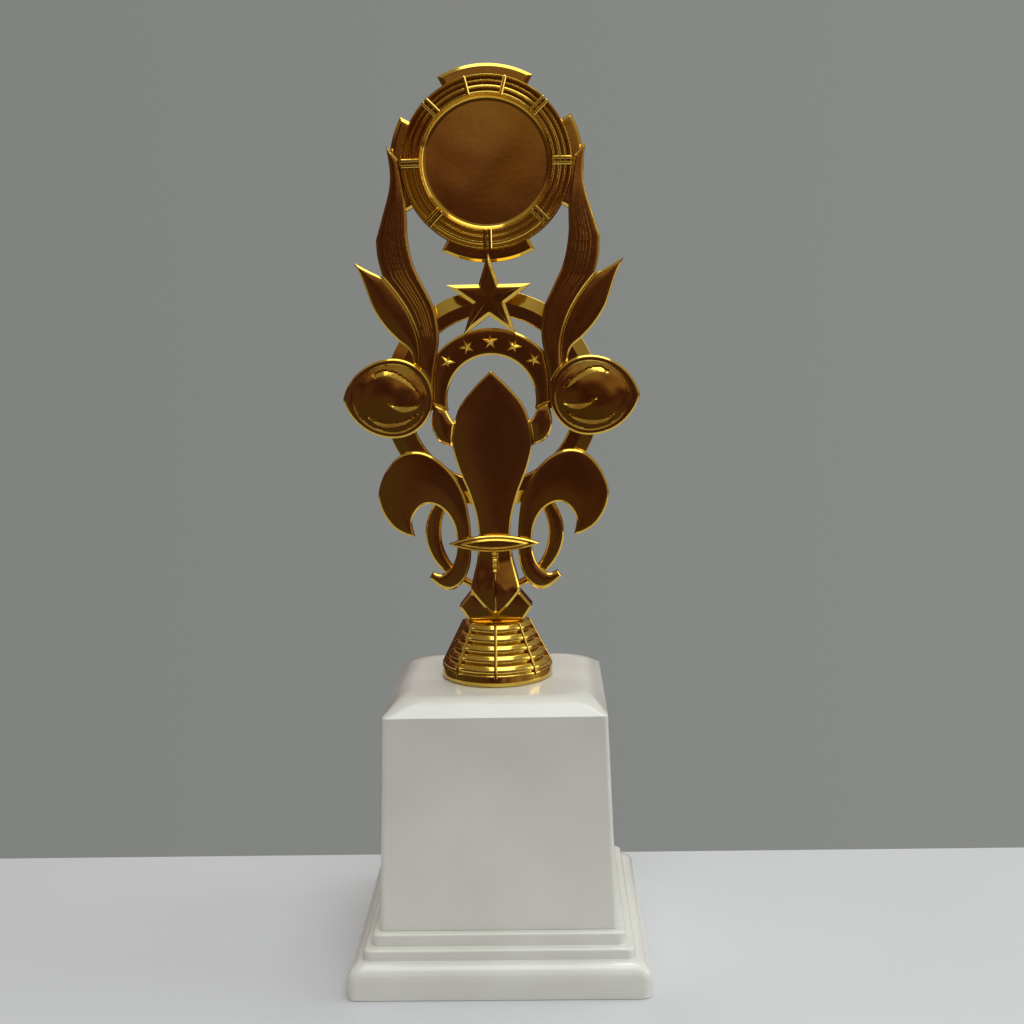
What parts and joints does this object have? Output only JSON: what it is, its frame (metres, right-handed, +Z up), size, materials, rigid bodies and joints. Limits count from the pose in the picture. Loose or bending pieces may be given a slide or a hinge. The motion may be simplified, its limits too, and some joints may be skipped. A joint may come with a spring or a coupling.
{
  "type": "star trophy",
  "caption": "Award trophy: a gilded openwork figure with a round disc holder, a star, wings and petals, bolted by its flared foot to a white tapered column on a stepped square plinth.",
  "frame": {"origin": "centre of the square plinth's underside, on the surface the trophy stands on", "axes": "+Z up along the column and the figure, -Y out of the front of the figure, +X to the viewer's right"},
  "size_m": [0.1166, 0.115, 0.351],
  "materials": {
    "white_plastic": "satin moulded",
    "gilded_plastic": "vacuum-metallised gold",
    "plated_steel": "zinc plated"
  },
  "bodies": {
    "root": {"plinth": "white_plastic", "column": "white_plastic", "tie_rod": "plated_steel", "rod_washer": "plated_steel", "rod_nut": "plated_steel", "foot_nut": "plated_steel", "foot": "gilded_plastic", "collar": "gilded_plastic", "neck": "gilded_plastic", "petal_band": "gilded_plastic", "centre_petal": "gilded_plastic", "left_petal": "gilded_plastic", "right_petal": "gilded_plastic", "left_curl": "gilded_plastic", "right_curl": "gilded_plastic", "lower_ring": "gilded_plastic", "big_ring": "gilded_plastic", "star_arch": "gilded_plastic", "arch_stars": "gilded_plastic", "left_knob": "gilded_plastic", "right_knob": "gilded_plastic", "star": "gilded_plastic", "left_wing": "gilded_plastic", "right_wing": "gilded_plastic", "left_leaf": "gilded_plastic", "right_leaf": "gilded_plastic", "left_bud": "gilded_plastic", "right_bud": "gilded_plastic", "holder_back": "gilded_plastic", "holder_rim": "gilded_plastic", "disc_seat": "gilded_plastic"}
  },
  "joints": []
}
